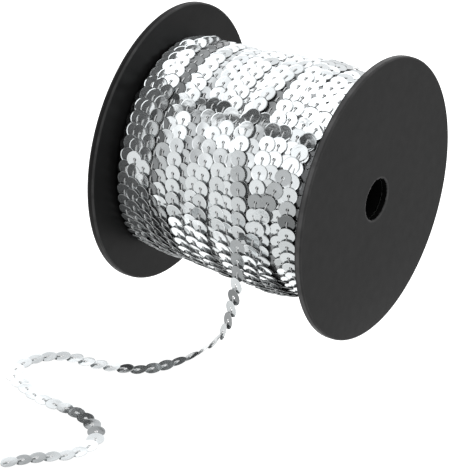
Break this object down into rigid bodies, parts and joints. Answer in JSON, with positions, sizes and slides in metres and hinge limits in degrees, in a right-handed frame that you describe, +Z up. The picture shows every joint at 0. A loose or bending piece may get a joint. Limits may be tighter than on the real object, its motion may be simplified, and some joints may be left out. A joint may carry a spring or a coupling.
{
  "type": "sequin trim wound on a flanged spool",
  "caption": "Flat string of overlapping silver sequins wound in side-by-side turns on a black flanged spool, with a loose end lying in an S on the surface.",
  "frame": {"origin": "on the surface that the spool stands on, below the middle of the spool", "axes": "+X along the spool's axis from the left flange to the right one, +Y to the back, +Z up; the loose end leaves the front, towards -Y"},
  "size_m": [0.0904, 0.1956, 0.0997],
  "materials": {
    "black_plastic": "moulded black plastic, half matt",
    "silver_sequins": "mirror-bright silver film discs on a white thread"
  },
  "bodies": {
    "root": {"flange_left": "black_plastic", "flange_right": "black_plastic", "core": "black_plastic", "winding": "silver_sequins", "loose_end": "silver_sequins"}
  },
  "joints": []
}
